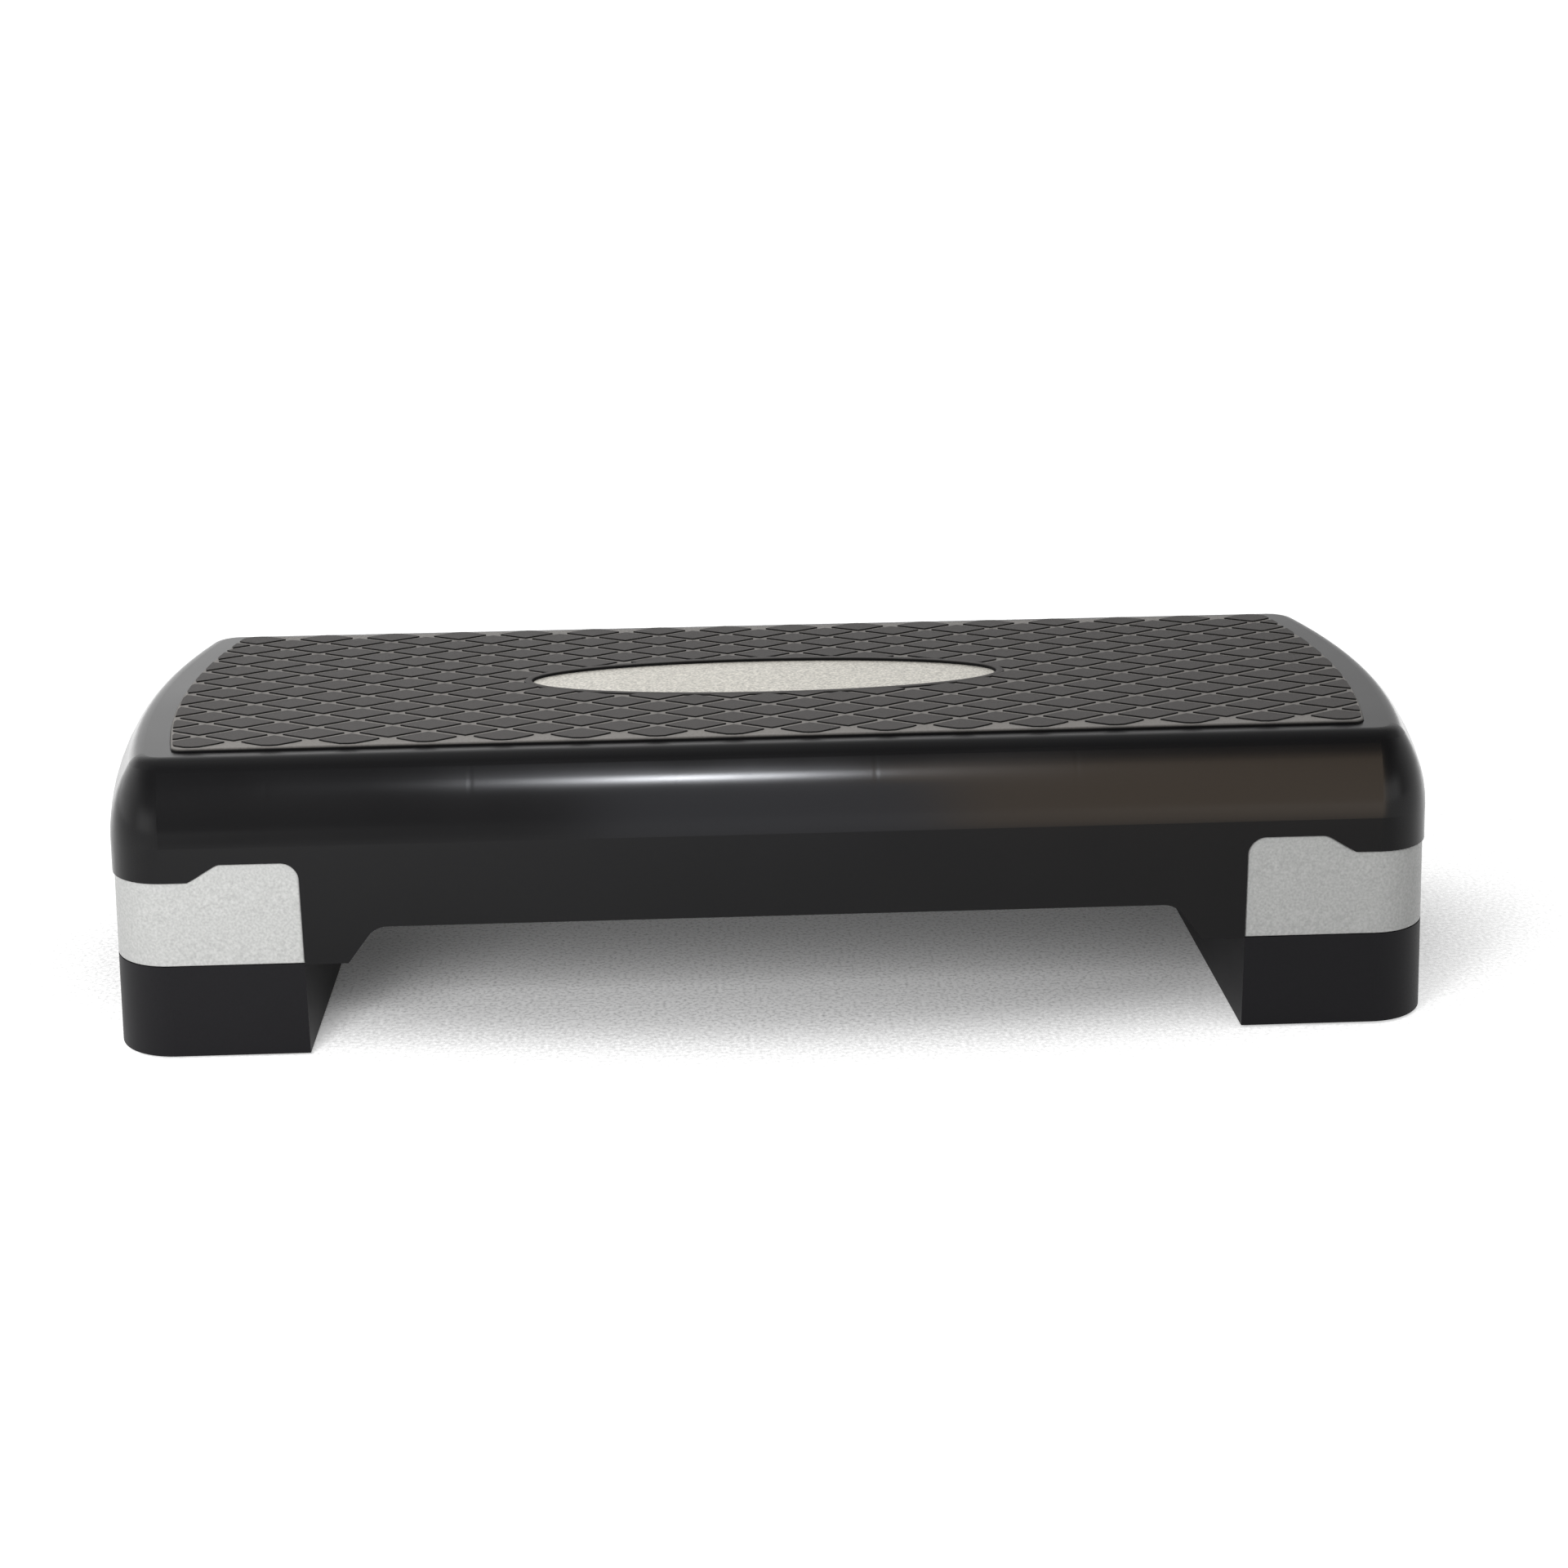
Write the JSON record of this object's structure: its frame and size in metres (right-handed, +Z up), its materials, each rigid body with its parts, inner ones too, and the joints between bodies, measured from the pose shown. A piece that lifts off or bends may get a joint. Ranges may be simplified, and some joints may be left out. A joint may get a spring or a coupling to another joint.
{
  "type": "aerobic step platform",
  "caption": "Low moulded exercise step with a diamond tread mat, grey end covers and plug-in risers that give it a second height.",
  "frame": {"origin": "on the floor below the middle of the platform", "axes": "+X along the length to the right as seen from the front, +Y to the back, +Z up"},
  "size_m": [0.6798, 0.2758, 0.1511],
  "materials": {
    "deck_plastic": "satin moulded polypropylene",
    "riser_plastic": "fine-textured moulded polypropylene",
    "band_plastic": "satin light grey",
    "mat_rubber": "soft matt",
    "badge_metal": "satin, finely grained",
    "pad_rubber": "matt"
  },
  "bodies": {
    "risers": {"riser_left": "riser_plastic", "riser_right": "riser_plastic", "riser_pad_left_front_inner": "pad_rubber", "riser_pad_left_front_outer": "pad_rubber", "riser_pad_left_back_inner": "pad_rubber", "riser_pad_left_back_outer": "pad_rubber", "riser_pad_right_front_inner": "pad_rubber", "riser_pad_right_front_outer": "pad_rubber", "riser_pad_right_back_inner": "pad_rubber", "riser_pad_right_back_outer": "pad_rubber"},
    "platform": {"deck": "deck_plastic", "tread_mat": "mat_rubber", "badge_plate": "badge_metal", "end_band_left": "band_plastic", "end_band_right": "band_plastic", "deck_pad_left_front_inner": "pad_rubber", "deck_pad_left_front_outer": "pad_rubber", "deck_pad_left_back_inner": "pad_rubber", "deck_pad_left_back_outer": "pad_rubber", "deck_pad_right_front_inner": "pad_rubber", "deck_pad_right_front_outer": "pad_rubber", "deck_pad_right_back_inner": "pad_rubber", "deck_pad_right_back_outer": "pad_rubber"}
  },
  "joints": [
    {"name": "platform_lift", "type": "slide", "parent": "risers", "child": "platform", "axis": [0, 0, 1], "range_m": [0, 0.06]}
  ]
}
